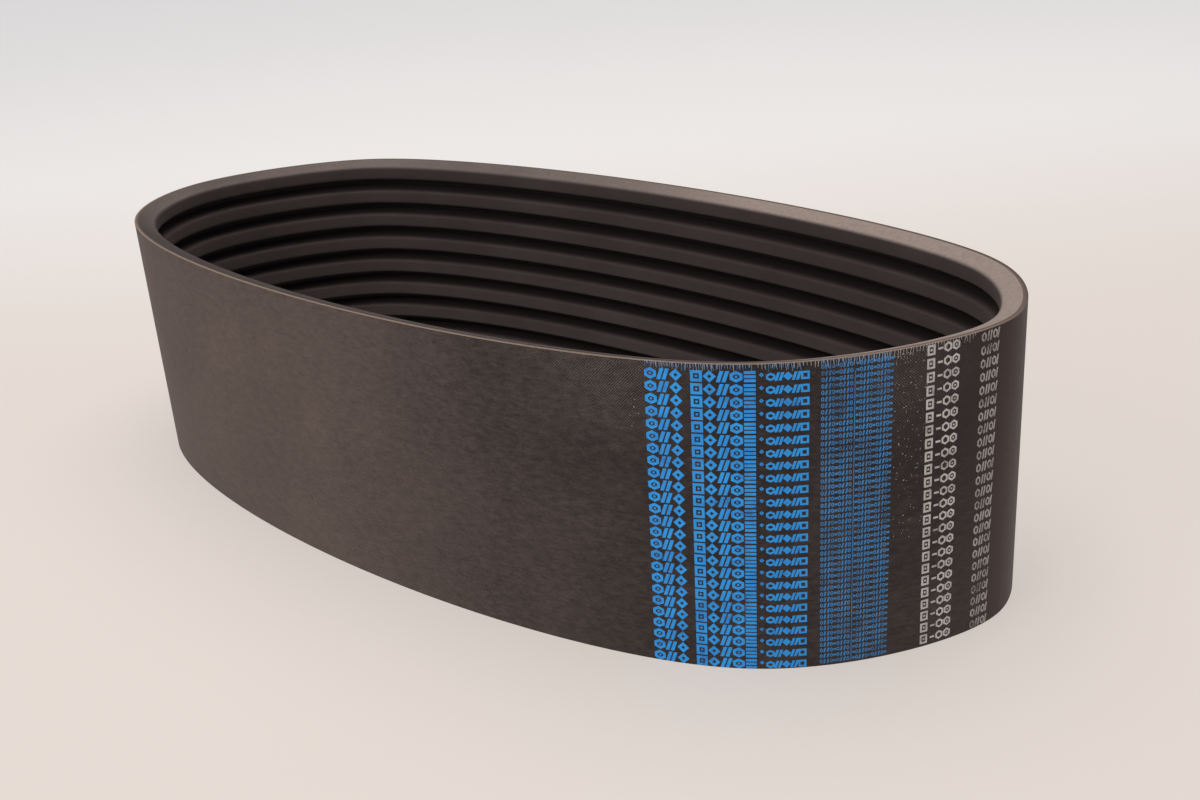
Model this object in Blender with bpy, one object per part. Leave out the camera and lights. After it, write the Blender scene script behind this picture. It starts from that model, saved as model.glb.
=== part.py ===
"""A joined V-belt standing on its edge: nine wrapped ribs under one tie band, in a slack loop.

Metres, +Z up. Z runs across the belt, from rib to rib, as a sheave's axle would. The loop's
longest extent lies along X, and the origin is below the middle of its box, on the floor.
"""

import math

import bmesh
import bpy
import numpy as np

# Sizes that belong to the belt's section.
RIB_COUNT = 9
RIB_TOP_WIDTH = 0.0170
RIB_SPACING = 0.00205
RIB_DEPTH = 0.0110
FLANK_ANGLE = math.radians(20.0)
JACKET_WALL = 0.0009
CUSHION_THICKNESS = 0.0016
CORD_DIAMETER = 0.0013
PLY_THICKNESS = 0.0010

# The length round the rib tips, which is what a belt's size code gives.
INSIDE_LENGTH = 1.4986

# How the slack loop lies. Each is the bend radius where the belt's back looks in one of twelve
# directions, 30 degrees apart, starting with +X and turning towards +Y. The loop is then scaled
# to INSIDE_LENGTH.
BEND_RADII = (0.058, 0.125, 0.120, 1.140, 0.110, 0.200, 0.085, 0.115, 0.145, 0.990, 0.155, 0.215)

# The space left between pieces that are bonded in the real belt.
GAP = 0.0003

# Flat facets in each quarter of the loop, and the steps that the outline is worked out in.
QUARTER_FACETS = 9
QUARTER_STEPS = 900

# Depths are measured from the belt's back towards the inside of the loop.
INNER_PLY_DEPTH = PLY_THICKNESS + GAP
RIB_TOP_DEPTH = INNER_PLY_DEPTH + PLY_THICKNESS + GAP
RIB_TIP_DEPTH = RIB_TOP_DEPTH + RIB_DEPTH
CORD_DEPTH = RIB_TOP_DEPTH + CUSHION_THICKNESS + GAP
CORE_DEPTH = CORD_DEPTH + CORD_DIAMETER + GAP
JACKET_FLOOR_DEPTH = RIB_TIP_DEPTH - JACKET_WALL
RIB_PITCH = RIB_TOP_WIDTH + RIB_SPACING
BELT_WIDTH = RIB_PITCH * (RIB_COUNT - 1) + RIB_TOP_WIDTH

# Name, linear base colour, roughness. None of them is metallic.
WOVEN_BAND = ("dusty_woven_band_fabric", (0.034, 0.031, 0.031), 0.78)
BAND_LINING = ("dark_band_lining_fabric", (0.017, 0.016, 0.016), 0.84)
WOVEN_JACKET = ("woven_jacket_fabric", (0.070, 0.062, 0.058), 0.80)
COMPRESSION_RUBBER = ("black_compression_rubber", (0.010, 0.010, 0.011), 0.62)
POLYESTER_CORD = ("polyester_tensile_cord", (0.560, 0.510, 0.420), 0.66)
CUSHION_GUM = ("dark_cushion_gum", (0.022, 0.020, 0.020), 0.55)


def clear_scene():
    """Removes every object that the scene starts with."""
    for obj in list(bpy.data.objects):
        bpy.data.objects.remove(obj, do_unlink=True)


def bend_radii(angles):
    """Bend radii at these directions, on a smooth closed curve through the logs of BEND_RADII."""
    logs = np.log(BEND_RADII)
    place = angles / (2.0 * math.pi) * len(logs)
    index = np.floor(place).astype(int)
    part = place - index
    before, here, after, beyond = (logs[(index + k) % len(logs)] for k in (-1, 0, 1, 2))
    slope = after - before
    bow = 2.0 * before - 5.0 * here + 4.0 * after - beyond
    twist = 3.0 * (here - after) + beyond - before
    return np.exp(here + 0.5 * part * (slope + part * (bow + part * twist)))


def loop_outline():
    """Points round the belt's back, and the length up to each, in equal steps of direction."""
    steps = 4 * QUARTER_STEPS
    turn = 2.0 * math.pi / steps
    angles = (np.arange(steps) + 0.5) * turn
    across, along = np.cos(angles), np.sin(angles)
    radii = bend_radii(angles)
    # A loop closes when its radii hold no share of the direction's cosine or sine.
    radii -= 2.0 * np.mean(radii * across) * across + 2.0 * np.mean(radii * along) * along
    back_length = INSIDE_LENGTH + 2.0 * math.pi * RIB_TIP_DEPTH
    radii *= back_length / (np.sum(radii) * turn)
    moves = np.column_stack([-radii * along, radii * across]) * turn
    points = np.vstack([np.zeros(2), np.cumsum(moves, axis=0)[:-1]])
    lengths = np.concatenate([[0.0], np.cumsum(radii * turn)])
    middle = (points.min(axis=0) + points.max(axis=0)) / 2.0
    return points - middle, lengths


def facet_corners():
    """The outline's corners: closer together where the bend is tight, and one at each extreme."""
    points, lengths = loop_outline()
    turned = np.linspace(0.0, 1.0, len(lengths))
    progress = lengths / lengths[-1] + turned
    chosen = []
    for quarter in range(4):
        first = quarter * QUARTER_STEPS
        last = first + QUARTER_STEPS
        wanted = np.linspace(progress[first], progress[last], QUARTER_FACETS + 1)[:-1]
        chosen.extend(np.searchsorted(progress, wanted))
    return points[chosen]


def inward_mitres(corners):
    """For each corner, the move towards the inside that sets both of its facets in by one unit."""
    edges = np.roll(corners, -1, axis=0) - corners
    edges /= np.linalg.norm(edges, axis=1)[:, None]
    inward = np.column_stack([-edges[:, 1], edges[:, 0]])
    before = np.roll(inward, 1, axis=0)
    return (before + inward) / (1.0 + np.sum(before * inward, axis=1))[:, None]


def flank_inset(depth, wall):
    """How far in from the rib's edge a flank lies at this depth, under this much wall."""
    return (depth - RIB_TOP_DEPTH) * math.tan(FLANK_ANGLE) + wall / math.cos(FLANK_ANGLE)


def band_section(depth):
    """A ply's section: a flat strip over the whole width of the belt."""
    bottom = depth + PLY_THICKNESS
    return [(depth, 0.0), (bottom, 0.0), (bottom, BELT_WIDTH), (depth, BELT_WIDTH)]


def trapezium(edge, top, bottom, wall):
    """A layer of a rib between two depths, clear of the flanks by the wall."""
    far = edge + RIB_TOP_WIDTH
    return [
        (top, edge + flank_inset(top, wall)),
        (bottom, edge + flank_inset(bottom, wall)),
        (bottom, far - flank_inset(bottom, wall)),
        (top, far - flank_inset(top, wall)),
    ]


def jacket_section(edge):
    """The cloth wrapped round a rib's flanks and tip, open where the tie band covers it."""
    outside = trapezium(edge, RIB_TOP_DEPTH, RIB_TIP_DEPTH, 0.0)
    inside = trapezium(edge, RIB_TOP_DEPTH, JACKET_FLOOR_DEPTH, JACKET_WALL)
    return outside + inside[::-1]


def make_material(name, colour, roughness):
    material = bpy.data.materials.new(name)
    material.use_nodes = True
    shader = material.node_tree.nodes["Principled BSDF"]
    shader.inputs["Base Color"].default_value = (*colour, 1.0)
    shader.inputs["Roughness"].default_value = roughness
    shader.inputs["Metallic"].default_value = 0.0
    material.diffuse_color = (*colour, 1.0)
    return material


def sweep(name, section, corners, mitres, material):
    """One closed ring: the section carried round the loop, with flat faces and mitred corners."""
    mesh = bpy.data.meshes.new(name)
    shape = bmesh.new()
    rings = []
    for corner, mitre in zip(corners, mitres):
        rings.append([shape.verts.new((*(corner + depth * mitre), z)) for depth, z in section])
    for ring, following in zip(rings, rings[1:] + rings[:1]):
        for side in range(len(section)):
            other = (side + 1) % len(section)
            shape.faces.new((ring[side], ring[other], following[other], following[side]))
    bmesh.ops.recalc_face_normals(shape, faces=shape.faces)
    shape.to_mesh(mesh)
    shape.free()
    mesh.materials.append(material)
    mesh.shade_smooth()
    mesh.set_sharp_from_angle(angle=math.radians(18.0))
    ring_object = bpy.data.objects.new(name, mesh)
    bpy.context.collection.objects.link(ring_object)


def build_tie_band(corners, mitres):
    """Two woven plies that join the ribs along their backs."""
    plies = (("outer", 0.0, WOVEN_BAND), ("inner", INNER_PLY_DEPTH, BAND_LINING))
    for layer, depth, finish in plies:
        section = band_section(depth)
        sweep(f"tie_band_{layer}_ply", section, corners, mitres, make_material(*finish))


def build_rib(number, edge, corners, mitres, finishes):
    """One rib, from the tie band inwards: gum, cord and rubber, held in a wrapped jacket."""
    inner_wall = JACKET_WALL + GAP
    layers = {
        "cushion_gum": (RIB_TOP_DEPTH, RIB_TOP_DEPTH + CUSHION_THICKNESS),
        "tensile_cord": (CORD_DEPTH, CORD_DEPTH + CORD_DIAMETER),
        "compression_rubber": (CORE_DEPTH, JACKET_FLOOR_DEPTH - GAP),
    }
    for layer, (top, bottom) in layers.items():
        section = trapezium(edge, top, bottom, inner_wall)
        sweep(f"rib_{number}_{layer}", section, corners, mitres, finishes[layer])
    section = jacket_section(edge)
    sweep(f"rib_{number}_fabric_jacket", section, corners, mitres, finishes["fabric_jacket"])


def build_belt():
    """The whole belt. Rib 1 stands on the floor, and the last one is at the top."""
    corners = facet_corners()
    mitres = inward_mitres(corners)
    build_tie_band(corners, mitres)
    finishes = {
        "cushion_gum": make_material(*CUSHION_GUM),
        "tensile_cord": make_material(*POLYESTER_CORD),
        "compression_rubber": make_material(*COMPRESSION_RUBBER),
        "fabric_jacket": make_material(*WOVEN_JACKET),
    }
    for index in range(RIB_COUNT):
        build_rib(index + 1, index * RIB_PITCH, corners, mitres, finishes)


clear_scene()
build_belt()
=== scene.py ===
"""The looks of a joined V-belt that stands on its edge in a slack loop.

Each piece is modelled straight and flat, the way a belt is laid up: X runs along the belt, Y goes
into it from its back, and Z runs across it. The finished strip is then bent round the loop.
Metres, +Z up.
"""

import math
import random

import bpy
import numpy as np
from mathutils import Matrix, Vector


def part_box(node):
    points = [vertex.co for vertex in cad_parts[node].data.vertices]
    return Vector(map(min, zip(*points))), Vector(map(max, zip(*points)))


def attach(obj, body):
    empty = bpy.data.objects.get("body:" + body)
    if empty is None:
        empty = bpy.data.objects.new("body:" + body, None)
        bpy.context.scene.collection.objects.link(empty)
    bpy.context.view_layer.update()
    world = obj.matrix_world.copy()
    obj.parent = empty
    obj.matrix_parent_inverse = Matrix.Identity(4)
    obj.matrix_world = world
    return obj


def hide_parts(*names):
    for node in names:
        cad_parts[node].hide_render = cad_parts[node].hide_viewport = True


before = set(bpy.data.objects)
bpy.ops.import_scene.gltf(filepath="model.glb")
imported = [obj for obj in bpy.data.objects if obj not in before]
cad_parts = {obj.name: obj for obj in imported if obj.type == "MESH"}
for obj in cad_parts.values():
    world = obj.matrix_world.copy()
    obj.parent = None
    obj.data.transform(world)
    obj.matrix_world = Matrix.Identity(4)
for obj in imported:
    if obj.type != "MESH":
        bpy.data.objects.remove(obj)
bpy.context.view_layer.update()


# ---- The loop ---------------------------------------------------------------------------------
# A belt off its pulleys lies in a slack oval, held open by its own stiffness. This guide curve is
# the line of the belt's back, and every strip is bent round it. It isn't part of the belt.

# The bend radius where the back looks in one of twelve directions, 30 degrees apart from +X.
BEND_RADII = (0.058, 0.125, 0.120, 1.140, 0.110, 0.200, 0.085, 0.115, 0.145, 0.990, 0.155, 0.215)
INSIDE_LENGTH = 1.4986
BELT_THICKNESS = 0.0136
OUTLINE_STEPS = 3600
LOOP_STEPS = 720
GUIDE_RADIUS = 0.25


def loop_points(count):
    """Points at even spacing along the belt's back, and the length of the back."""
    turn = 2.0 * math.pi / OUTLINE_STEPS
    angles = (np.arange(OUTLINE_STEPS) + 0.5) * turn
    across, along = np.cos(angles), np.sin(angles)
    logs = np.log(BEND_RADII)
    place = angles / (2.0 * math.pi) * len(logs)
    index = np.floor(place).astype(int)
    part = place - index
    before, here, after, beyond = (logs[(index + k) % len(logs)] for k in (-1, 0, 1, 2))
    bow = 2.0 * before - 5.0 * here + 4.0 * after - beyond
    twist = 3.0 * (here - after) + beyond - before
    radii = np.exp(here + 0.5 * part * (after - before + part * (bow + part * twist)))
    # The loop closes when its radii hold no share of the direction's cosine or sine.
    radii -= 2.0 * np.mean(radii * across) * across + 2.0 * np.mean(radii * along) * along
    length = INSIDE_LENGTH + 2.0 * math.pi * BELT_THICKNESS
    radii *= length / (np.sum(radii) * turn)
    moves = np.column_stack([-radii * along, radii * across]) * turn
    points = np.vstack([np.zeros(2), np.cumsum(moves, axis=0)])
    points -= (points.min(axis=0) + points.max(axis=0)) / 2.0
    lengths = np.concatenate([[0.0], np.cumsum(radii * turn)])
    wanted = np.arange(count) / count * length
    return np.column_stack([np.interp(wanted, lengths, points[:, side]) for side in (0, 1)])


bpy.ops.object.select_all(action="DESELECT")
bpy.ops.mesh.primitive_circle_add(vertices=LOOP_STEPS, radius=GUIDE_RADIUS)
bpy.ops.object.convert(target="CURVE")
loop_guide = bpy.context.object
loop_guide.name = "loop_guide"
loop_guide.data.twist_mode = "Z_UP"
guide_line = loop_guide.data.splines[0]
guide_places = np.zeros((LOOP_STEPS, 4), np.float32)
guide_places[:, :2] = loop_points(LOOP_STEPS)
guide_places[:, 3] = 1.0
guide_line.points.foreach_set("co", guide_places.ravel())
loop_guide.data.update_tag()
bpy.context.view_layer.update()
BACK_LENGTH = guide_line.calc_length()
SLICE = BACK_LENGTH / LOOP_STEPS


# ---- Tie band, outer ply ------------------------------------------------------------------------
# The cloth over the belt's back. It is cut on the bias, soaked in chloroprene rubber and cured with
# the ribs, so its weave shows faintly under a dusty skin. Its two long edges are cut with a knife.

BAND_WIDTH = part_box("tie_band_outer_ply")[1].z
OUTER_PLY_DEPTHS = (0.0, 0.00115)
CUT_EDGE_ROUND = 0.00022
# Millimetres from thread to thread. It is drawn about twice as coarse as the real cloth, to show.
WEAVE_PITCH = 1.05
# Points closer than this are joined: along a strip, and where its two ends meet.
STRIP_WELD = 0.00002
SEAM_WELD = 0.00003
SMOOTH_ANGLE = math.radians(35.0)


def linear(text):
    """A linear, opaque colour from an sRGB hex value."""
    parts = [int(text[k : k + 2], 16) / 255.0 for k in (1, 3, 5)]
    spread = [c / 12.92 if c <= 0.04045 else ((c + 0.055) / 1.055) ** 2.4 for c in parts]
    return (*spread, 1.0)


def add_node(tree, kind, inputs=None, **settings):
    """Adds one node. An input is a value, or another node's output to link to it."""
    made = tree.nodes.new("ShaderNode" + kind)
    for name, value in settings.items():
        setattr(made, name, value)
    for name, value in (inputs or {}).items():
        if isinstance(value, bpy.types.NodeSocket):
            tree.links.new(value, made.inputs[name])
        else:
            made.inputs[name].default_value = value
    return made


def start_material(name, **shader_values):
    """A material, its node tree and its shader, with these values on the shader's own sockets."""
    material = bpy.data.materials.new(name)
    material.use_nodes = True
    tree = material.node_tree
    shader = tree.nodes["Principled BSDF"]
    for socket, value in shader_values.items():
        shader.inputs[socket.replace("_", " ")].default_value = value
    return material, tree, shader


def cover(tree, shader, colour, height, strength, distance):
    """Gives the shader its colour, and a relief that is this distance high."""
    tree.links.new(colour, shader.inputs["Base Color"])
    relief = add_node(tree, "Bump", {"Height": height, "Strength": strength, "Distance": distance})
    tree.links.new(relief.outputs["Normal"], shader.inputs["Normal"])


def belt_millimetres(tree):
    """Millimetres along the belt and across it, from the strip's own unwrapping."""
    unwrapped = add_node(tree, "UVMap", uv_map="belt").outputs["UV"]
    return add_node(
        tree, "VectorMath", {0: unwrapped, "Scale": 1000.0}, operation="SCALE"
    ).outputs["Vector"]


def bias_weave(tree, millimetres):
    """Height of a plain weave, 0 to 1, whose threads lie at 45 degrees to the belt."""
    ruffle = add_node(tree, "TexNoise", {"Vector": millimetres, "Scale": 0.35, "Detail": 1.0})
    centred = add_node(
        tree, "VectorMath", {0: ruffle.outputs["Color"], 1: (0.5, 0.5, 0.5)}, operation="SUBTRACT"
    )
    uneven = add_node(
        tree,
        "VectorMath",
        {0: centred.outputs[0], 1: (0.9, 0.9, 0.0), 2: millimetres},
        operation="MULTIPLY_ADD",
    )
    turned = add_node(
        tree,
        "Mapping",
        {"Vector": uneven.outputs[0], "Rotation": (0.0, 0.0, math.radians(45.0))},
    ).outputs["Vector"]
    # A Wave texture's band is 2 pi / 20 wide at scale 1.
    per_thread = math.pi / 10.0 / WEAVE_PITCH
    warp = add_node(
        tree, "TexWave", {"Vector": turned, "Scale": per_thread}, bands_direction="X"
    ).outputs["Fac"]
    weft = add_node(
        tree, "TexWave", {"Vector": turned, "Scale": per_thread}, bands_direction="Y"
    ).outputs["Fac"]
    over = add_node(tree, "TexChecker", {"Vector": turned, "Scale": 1.0 / WEAVE_PITCH}).outputs["Fac"]
    warp_dip = add_node(tree, "Math", {0: warp, 1: 0.45}, operation="POWER").outputs[0]
    weft_dip = add_node(tree, "Math", {0: weft, 1: 0.45}, operation="POWER").outputs[0]
    warp_crown = add_node(tree, "Math", {0: warp, 1: weft_dip}, operation="MULTIPLY").outputs[0]
    weft_crown = add_node(tree, "Math", {0: weft, 1: warp_dip}, operation="MULTIPLY").outputs[0]
    woven = add_node(tree, "Mix", {"Factor": over, "A": warp_crown, "B": weft_crown})
    return woven.outputs["Result"]


def select_faces(piece, wanted):
    """Leaves the piece in edit mode, with only the faces that the test picks selected."""
    bpy.ops.object.mode_set(mode="EDIT")
    bpy.ops.mesh.select_mode(type="FACE")
    bpy.ops.mesh.select_all(action="DESELECT")
    bpy.ops.object.mode_set(mode="OBJECT")
    for face in piece.data.polygons:
        face.select = wanted(face)
    bpy.ops.object.mode_set(mode="EDIT")


def select_edges(piece, wanted):
    """Leaves the piece in edit mode, with only the edges between two picked places selected."""
    bpy.ops.object.mode_set(mode="EDIT")
    bpy.ops.mesh.select_mode(type="EDGE")
    bpy.ops.mesh.select_all(action="DESELECT")
    bpy.ops.object.mode_set(mode="OBJECT")
    corners = piece.data.vertices
    for edge in piece.data.edges:
        edge.select = wanted(*(corners[k].co for k in edge.vertices))
    bpy.ops.object.mode_set(mode="EDIT")


def add_slice(name, depths, heights):
    """One slice of a strip, as a block between two depths and two heights."""
    bpy.ops.object.select_all(action="DESELECT")
    top, bottom = depths
    low, high = heights
    bpy.ops.mesh.primitive_cube_add(
        size=1.0,
        location=(SLICE / 2.0, (top + bottom) / 2.0, (low + high) / 2.0),
        scale=(SLICE, bottom - top, high - low),
    )
    bpy.ops.object.transform_apply(location=True, rotation=True, scale=True)
    piece = bpy.context.object
    piece.name = piece.data.name = name
    piece.data.uv_layers[0].name = "belt"
    return piece


def round_long_edges(piece, depth, radius, segments):
    """Rounds the edges that run along the belt at this depth."""
    def runs_along(a, b):
        return abs(a.x - b.x) > SLICE / 2.0 and abs(a.y - depth) < STRIP_WELD

    select_edges(piece, runs_along)
    bpy.ops.mesh.bevel(offset=radius, offset_type="OFFSET", segments=segments, affect="EDGES")
    bpy.ops.object.mode_set(mode="OBJECT")


def make_strip(piece, fold_depth, fold):
    """Opens the slice's two ends, repeats it for the whole length of the belt, and unwraps it.

    Across the belt the unwrapping is the height, plus fold times the distance from fold_depth on
    the faces that look up or down.
    """
    select_faces(piece, lambda face: abs(face.normal.x) > 0.5)
    bpy.ops.mesh.delete(type="FACE")
    bpy.ops.object.mode_set(mode="OBJECT")
    row = piece.modifiers.new("along_the_belt", "ARRAY")
    row.count = LOOP_STEPS
    row.use_relative_offset = False
    row.use_constant_offset = True
    row.constant_offset_displace = (SLICE, 0.0, 0.0)
    row.use_merge_vertices = True
    row.merge_threshold = STRIP_WELD
    bpy.ops.object.modifier_apply(modifier=row.name)
    unwrap(piece, fold_depth, fold)


def unwrap(piece, fold_depth=0.0, fold=0.0):
    """Lays the belt's own measure, in metres, into the piece's UV map."""
    mesh = piece.data
    places = np.empty(len(mesh.vertices) * 3, np.float32)
    mesh.vertices.foreach_get("co", places)
    corners = np.empty(len(mesh.loops), np.int32)
    mesh.loops.foreach_get("vertex_index", corners)
    normals = np.empty(len(mesh.polygons) * 3, np.float32)
    mesh.polygons.foreach_get("normal", normals)
    counts = np.empty(len(mesh.polygons), np.int32)
    mesh.polygons.foreach_get("loop_total", counts)
    looks_up = np.sign(np.repeat(normals.reshape(-1, 3)[:, 2].round(3), counts))
    at = places.reshape(-1, 3)[corners]
    height = at[:, 2] + looks_up * fold * np.abs(at[:, 1] - fold_depth)
    mesh.uv_layers[0].data.foreach_set("uv", np.column_stack([at[:, 0], height]).ravel())


def bend_round_loop(piece, seam=SEAM_WELD):
    """Bends a straight strip round the loop, joins its ends and points its faces outwards."""
    bpy.ops.object.select_all(action="DESELECT")
    piece.select_set(True)
    bpy.context.view_layer.objects.active = piece
    bend = piece.modifiers.new("round_the_loop", "CURVE")
    bend.object = loop_guide
    bend.deform_axis = "POS_X"
    bpy.ops.object.modifier_apply(modifier=bend.name)
    bpy.ops.object.mode_set(mode="EDIT")
    bpy.ops.mesh.select_all(action="SELECT")
    bpy.ops.mesh.remove_doubles(threshold=seam)
    bpy.ops.mesh.normals_make_consistent(inside=False)
    bpy.ops.object.mode_set(mode="OBJECT")
    bpy.ops.object.shade_smooth_by_angle(angle=SMOOTH_ANGLE)


def finish_piece(piece, material, slot, *nodes):
    """Gives the piece its material and its place in the model."""
    piece.data.materials.clear()
    piece.data.materials.append(material)
    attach(piece, "root")
    if nodes:
        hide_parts(*nodes)


def set_levels(ramp, *levels):
    """Sets a colour ramp to these greys, each given as its position and its level."""
    stops = ramp.color_ramp.elements
    for position, _ in levels[1:-1]:
        stops.new(position)
    for stop, (position, level) in zip(stops, levels):
        stop.position = position
        stop.color = (level, level, level, 1.0)


# Rubber-soaked bias cloth: near-black rubber in the weave, grey-brown factory dust on its crowns.
# Cured rubber scatters softly, so the back is matt, with a weak gleam only at a glancing angle.
band_cloth, tree, shader = start_material(
    "rubber_soaked_bias_cloth",
    IOR=1.5,
    Metallic=0.0,
    Specular_IOR_Level=0.32,
    Sheen_Weight=0.05,
    Sheen_Roughness=0.4,
)
shader.inputs["Sheen Tint"].default_value = linear("#cdbfb6")
mm = belt_millimetres(tree)
weave = bias_weave(tree, mm)
# Broad clouds of dust, 60 to 150 mm across.
clouds = add_node(
    tree, "TexNoise", {"Vector": mm, "Scale": 0.012, "Detail": 3.0, "Roughness": 0.55}
).outputs["Fac"]
# Blotches of 2 to 9 mm, drawn out a little along the belt where the cloth was rolled down.
rolled = add_node(
    tree, "Mapping", {"Vector": mm, "Rotation": (0.0, 0.0, -0.5), "Scale": (0.12, 0.21, 1.0)}
).outputs["Vector"]
blotches = add_node(
    tree, "TexNoise", {"Vector": rolled, "Scale": 1.0, "Detail": 6.0, "Roughness": 0.8}
).outputs["Fac"]
# Scuffs about 1.5 mm wide and 7 mm long that run along the belt.
scuffed = add_node(
    tree, "Mapping", {"Vector": mm, "Rotation": (0.0, 0.0, 0.12), "Scale": (0.14, 0.6, 1.0)}
).outputs["Vector"]
scuffs = add_node(
    tree, "TexNoise", {"Vector": scuffed, "Scale": 1.0, "Detail": 3.0, "Roughness": 0.7}
).outputs["Fac"]
along_belt = add_node(tree, "SeparateXYZ", {"Vector": mm})
# Along the loop the back is lightest over the middle of the near side, and darker round the printing.
share_of_loop = add_node(
    tree, "Math", {0: along_belt.outputs["X"], 1: 1000.0 * BACK_LENGTH}, operation="DIVIDE"
).outputs[0]
tone_along_loop = add_node(tree, "ValToRGB", {"Fac": share_of_loop})
set_levels(
    tone_along_loop,
    (0.0, 0.06),
    (0.04, 0.16),
    (0.30, 0.50),
    (0.55, 0.64),
    (0.63, 0.66),
    (0.725, 0.73),
    (0.795, 0.44),
    (0.855, 0.24),
    (0.88, 0.09),
    (0.957, 0.13),
    (0.985, 0.05),
    (1.0, 0.06),
)
# The back is lighter low down than high up: a little more dust settled there, and painted light
# bounced up from the floor.
dust_and_bounce_low_down = add_node(
    tree,
    "MapRange",
    {
        "Value": along_belt.outputs["Y"],
        "From Max": 1000.0 * BAND_WIDTH,
        "To Min": 0.08,
        "To Max": -0.05,
    },
).outputs["Result"]
amount = add_node(
    tree, "Math", {0: tone_along_loop.outputs["Color"], 1: dust_and_bounce_low_down}, operation="ADD"
).outputs[0]
for pattern, share in ((clouds, 0.6), (blotches, 1.1), (scuffs, 0.6), (weave, 0.22)):
    centred = add_node(tree, "Math", {0: pattern, 1: -0.5}, operation="ADD").outputs[0]
    amount = add_node(
        tree, "Math", {0: centred, 1: share, 2: amount}, operation="MULTIPLY_ADD"
    ).outputs[0]
# This mask is dust with painted bounce light low down in it; it sets the colour and the roughness.
dust_and_painted_bounce = add_node(tree, "Clamp", {"Value": amount}).outputs["Result"]
skin = add_node(
    tree,
    "Mix",
    {"Factor": dust_and_painted_bounce, "A": linear("#201819"), "B": linear("#675b56")},
    data_type="RGBA",
).outputs["Result"]
# At the tight end where the strip's ends meet, the back is painted a warmer brown: a painted
# reflection.
from_end = add_node(tree, "Math", {0: share_of_loop, 1: -0.5}, operation="ADD").outputs[0]
from_end = add_node(tree, "Math", {0: from_end}, operation="ABSOLUTE").outputs[0]
painted_warm_reflection = add_node(
    tree,
    "MapRange",
    {"Value": from_end, "From Min": 0.475, "From Max": 0.5, "To Max": 0.8},
).outputs["Result"]
skin = add_node(
    tree,
    "Mix",
    {"Factor": painted_warm_reflection, "A": skin, "B": linear("#39201a")},
    data_type="RGBA",
).outputs["Result"]
# Painted glints: in two places on the near side the crowns of the weave are painted pale, as if
# the light caught them. The places are given in millimetres along the belt and across it.
glint_places = []
for middle, reach in (((1372.0, 168.0, 0.0), 52.0), ((1517.0, 160.0, 0.0), 46.0)):
    away = add_node(tree, "VectorMath", {0: mm, 1: middle}, operation="DISTANCE").outputs["Value"]
    near = add_node(tree, "MapRange", {"Value": away, "From Min": reach, "From Max": 0.25 * reach})
    glint_places.append(near.outputs["Result"])
glint_area = add_node(tree, "Math", {0: glint_places[0], 1: glint_places[1]}, operation="MAXIMUM").outputs[0]
crowns = add_node(
    tree, "MapRange", {"Value": weave, "From Min": 0.55, "From Max": 0.95}
).outputs["Result"]
glints = add_node(tree, "Math", {0: glint_area, 1: crowns}, operation="MULTIPLY").outputs[0]
glints = add_node(tree, "Math", {0: glints, 1: blotches}, operation="MULTIPLY").outputs[0]
# Painted highlight on the crowns of the weave.
skin = add_node(
    tree,
    "Mix",
    {"Factor": glints, "A": skin, "B": linear("#a39a93")},
    data_type="RGBA",
).outputs["Result"]
# The knife leaves the cut edges pale: fibre ends with dust in them. On the far side they are darker.
EDGE_MM = 0.1
edge_low = add_node(
    tree, "Math", {0: along_belt.outputs["Y"], 1: EDGE_MM}, operation="LESS_THAN"
).outputs[0]
edge_high = add_node(
    tree,
    "Math",
    {0: along_belt.outputs["Y"], 1: 1000.0 * BAND_WIDTH - EDGE_MM},
    operation="GREATER_THAN",
).outputs[0]
edge = add_node(tree, "Math", {0: edge_low, 1: edge_high}, operation="MAXIMUM").outputs[0]
backward = add_node(
    tree, "SeparateXYZ", {"Vector": add_node(tree, "TexCoord").outputs["Object"]}
).outputs["Y"]
far_side = add_node(
    tree, "MapRange", {"Value": backward, "From Min": -0.02, "From Max": 0.06}
).outputs["Result"]
fibre = add_node(
    tree,
    "Mix",
    {"Factor": far_side, "A": linear("#7b6d62"), "B": linear("#4b403a")},
    data_type="RGBA",
).outputs["Result"]
colour = add_node(
    tree, "Mix", {"Factor": edge, "A": skin, "B": fibre}, data_type="RGBA"
).outputs["Result"]
gloss = add_node(tree, "MapRange", {"Value": dust_and_painted_bounce, "To Min": 0.56, "To Max": 0.86})
tree.links.new(gloss.outputs["Result"], shader.inputs["Roughness"])
height = add_node(
    tree, "Math", {0: blotches, 1: 0.8, 2: weave}, operation="MULTIPLY_ADD"
).outputs[0]
cover(tree, shader, colour, height, 0.5, 0.00012)

outer_ply = add_slice("band_outer_ply", OUTER_PLY_DEPTHS, (0.0, BAND_WIDTH))
round_long_edges(outer_ply, OUTER_PLY_DEPTHS[0], CUT_EDGE_ROUND, 3)
make_strip(outer_ply, 0.0, 1.0)
bend_round_loop(outer_ply)
finish_piece(outer_ply, band_cloth, "band_fabric", "tie_band_outer_ply")


# ---- Tie band, inner ply ------------------------------------------------------------------------
# The second cloth, between the outer ply and the ribs. It shows as the floor of each groove and as
# a thin dark line along the cut edge. It is thick with rubber, so its weave is nearly filled.

INNER_PLY_DEPTHS = (0.00117, 0.00258)
INNER_PLY_SETBACK = 0.00012
INNER_PLY_ROUND = 0.0003

lining, tree, shader = start_material(
    "rubber_filled_lining_cloth", IOR=1.5, Roughness=0.82, Metallic=0.0
)
mm = belt_millimetres(tree)
weave = bias_weave(tree, mm)
stains = add_node(tree, "TexNoise", {"Vector": mm, "Scale": 0.08, "Detail": 4.0}).outputs["Fac"]
colour = add_node(
    tree,
    "Mix",
    {"Factor": stains, "A": linear("#171314"), "B": linear("#2a2423")},
    data_type="RGBA",
).outputs["Result"]
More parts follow.
